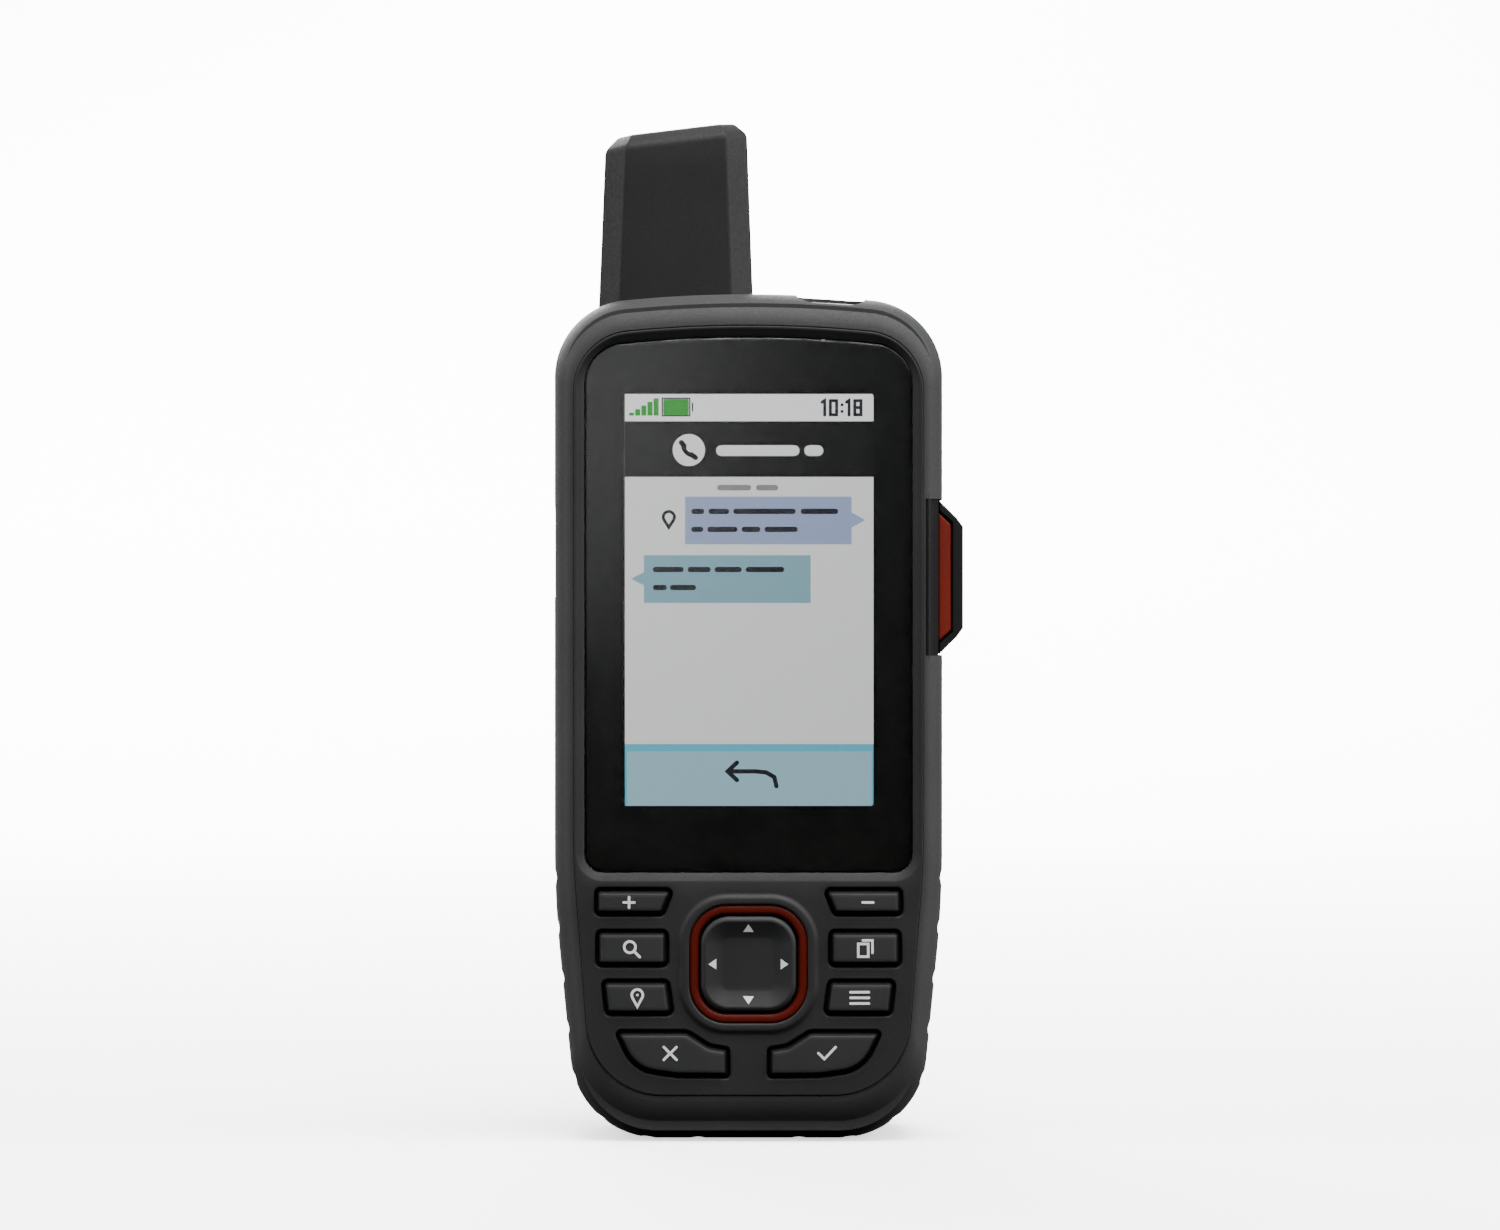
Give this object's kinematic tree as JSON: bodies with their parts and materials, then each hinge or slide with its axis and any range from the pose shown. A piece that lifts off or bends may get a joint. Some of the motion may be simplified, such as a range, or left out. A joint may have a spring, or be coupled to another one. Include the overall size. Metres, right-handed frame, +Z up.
{
  "type": "portable aviation gps",
  "caption": "Rugged handheld aviation navigator with a stub antenna, tall display, rocker and key pad, guarded emergency switch and locking battery door.",
  "frame": {"origin": "middle of the foot that the handset stands on, on the case's centre plane and halfway between the front and rear faces", "axes": "+X to the right as seen from the front, +Y from the screen to the back, +Z up along the antenna"},
  "size_m": [0.0652, 0.035, 0.1626],
  "materials": {
    "case_plastic": "matte",
    "bumper_rubber": "matte",
    "antenna_plastic": "matte",
    "seal_rubber": "matte",
    "key_rubber": "satin",
    "black_plastic": "satin",
    "red_plastic": "satin",
    "red_trim": "satin",
    "window_glass": "polished",
    "black_print": "gloss",
    "clear_adhesive": "gloss",
    "display_glass": "polished",
    "light_guide": "gloss",
    "die_cast": "satin",
    "copper": "polished",
    "flex_film": "satin",
    "circuit_board": "satin",
    "chip_black": "matte",
    "steel": "satin",
    "former_plastic": "matte",
    "cable_sheath": "satin",
    "battery_plastic": "satin",
    "cell_foil": "satin",
    "card_black": "satin"
  },
  "bodies": {
    "handset": {"front_housing": "case_plastic", "rear_housing": "case_plastic", "grip_bumper": "bumper_rubber", "case_gasket": "seal_rubber", "case_screws": "steel", "window_glass": "window_glass", "window_mask": "black_print", "window_adhesive": "clear_adhesive", "display_panel": "display_glass", "display_backlight": "light_guide", "display_chassis": "die_cast", "display_flex": "flex_film", "main_board": "circuit_board", "board_chips": "chip_black", "shield_cans": "die_cast", "satellite_modem": "die_cast", "snap_domes": "steel", "keypad_membrane": "key_rubber", "rocker_trim_ring": "red_trim", "rocker_post": "steel", "power_switch": "steel", "power_seal": "seal_rubber", "antenna_cover": "antenna_plastic", "antenna_gasket": "seal_rubber", "antenna_former": "former_plastic", "antenna_helix": "copper", "antenna_lead": "cable_sheath", "antenna_screws": "steel", "sos_frame": "black_plastic", "sos_guard": "red_plastic", "sos_hinge_pin": "steel", "sos_switch": "steel", "usb_port": "steel", "battery_case": "battery_plastic", "battery_cells": "cell_foil", "battery_contacts": "copper", "card_holder": "black_plastic", "memory_card": "card_black", "mounting_spine": "black_plastic", "spine_screws": "steel", "beeper": "black_plastic"},
    "zoom_in_key": {"zoom_in_key": "key_rubber"},
    "zoom_out_key": {"zoom_out_key": "key_rubber"},
    "find_key": {"find_key": "key_rubber"},
    "page_key": {"page_key": "key_rubber"},
    "mark_key": {"mark_key": "key_rubber"},
    "menu_key": {"menu_key": "key_rubber"},
    "quit_key": {"quit_key": "key_rubber"},
    "enter_key": {"enter_key": "key_rubber"},
    "rocker_gimbal": {"rocker_pivot": "steel"},
    "rocker": {"rocker_cap": "key_rubber"},
    "power_button": {"power_button": "black_plastic"},
    "sos_lid": {"sos_cap": "black_plastic"},
    "sos_button": {"sos_button": "red_plastic"},
    "usb_flap": {"usb_cap": "seal_rubber"},
    "door": {"battery_door": "case_plastic", "door_gasket": "seal_rubber"},
    "lock": {"door_lock": "black_plastic", "lock_clip": "steel"},
    "ring": {"d_ring": "steel"}
  },
  "joints": [
    {"name": "zoom_in_press", "type": "slide", "parent": "handset", "child": "zoom_in_key", "axis": [0, 1, 0], "range_m": [0, 0.0006], "stiffness_N_per_m": 800},
    {"name": "zoom_out_press", "type": "slide", "parent": "handset", "child": "zoom_out_key", "axis": [0, 1, 0], "range_m": [0, 0.0006], "stiffness_N_per_m": 800},
    {"name": "find_press", "type": "slide", "parent": "handset", "child": "find_key", "axis": [0, 1, 0], "range_m": [0, 0.0006], "stiffness_N_per_m": 800},
    {"name": "page_press", "type": "slide", "parent": "handset", "child": "page_key", "axis": [0, 1, 0], "range_m": [0, 0.0006], "stiffness_N_per_m": 800},
    {"name": "mark_press", "type": "slide", "parent": "handset", "child": "mark_key", "axis": [0, 1, 0], "range_m": [0, 0.0006], "stiffness_N_per_m": 800},
    {"name": "menu_press", "type": "slide", "parent": "handset", "child": "menu_key", "axis": [0, 1, 0], "range_m": [0, 0.0006], "stiffness_N_per_m": 800},
    {"name": "quit_press", "type": "slide", "parent": "handset", "child": "quit_key", "axis": [0, 1, 0], "range_m": [0, 0.0006], "stiffness_N_per_m": 800},
    {"name": "enter_press", "type": "slide", "parent": "handset", "child": "enter_key", "axis": [0, 1, 0], "range_m": [0, 0.0006], "stiffness_N_per_m": 800},
    {"name": "rocker_tilt_up_down", "type": "hinge", "parent": "handset", "child": "rocker_gimbal", "pos_m": [0, -0.0124, 0.0283], "axis": [1, 0, 0], "range_deg": [-3, 3], "stiffness_Nm_per_rad": 0.5},
    {"name": "rocker_tilt_side", "type": "hinge", "parent": "rocker_gimbal", "child": "rocker", "pos_m": [0, -0.0124, 0.0283], "axis": [0, 0, 1], "range_deg": [-3, 3], "stiffness_Nm_per_rad": 0.5},
    {"name": "power_press", "type": "slide", "parent": "handset", "child": "power_button", "axis": [0, 0, -1], "range_m": [0, 0.0005], "stiffness_N_per_m": 1200},
    {"name": "sos_lid_open", "type": "hinge", "parent": "handset", "child": "sos_lid", "pos_m": [0.0316, 0.0043, 0.0896], "axis": [0, 0, 1], "range_deg": [0, 115]},
    {"name": "sos_press", "type": "slide", "parent": "handset", "child": "sos_button", "axis": [-1, 0, 0], "range_m": [0, 0.0008], "stiffness_N_per_m": 1500},
    {"name": "usb_flap_open", "type": "hinge", "parent": "handset", "child": "usb_flap", "pos_m": [-0.03005, -0.0078, 0.0874], "axis": [0, -1, 0], "range_deg": [0, 90]},
    {"name": "door_lift", "type": "slide", "parent": "handset", "child": "door", "axis": [0, 1, 0], "range_m": [0, 0.014]},
    {"name": "lock_turn", "type": "hinge", "parent": "door", "child": "lock", "pos_m": [0, 0.015, 0.0195], "axis": [0, 1, 0], "range_deg": [-90, 0]},
    {"name": "ring_flip", "type": "hinge", "parent": "lock", "child": "ring", "pos_m": [0, 0.0156, 0.0195], "axis": [1, 0, 0], "range_deg": [0, 90]}
  ]
}
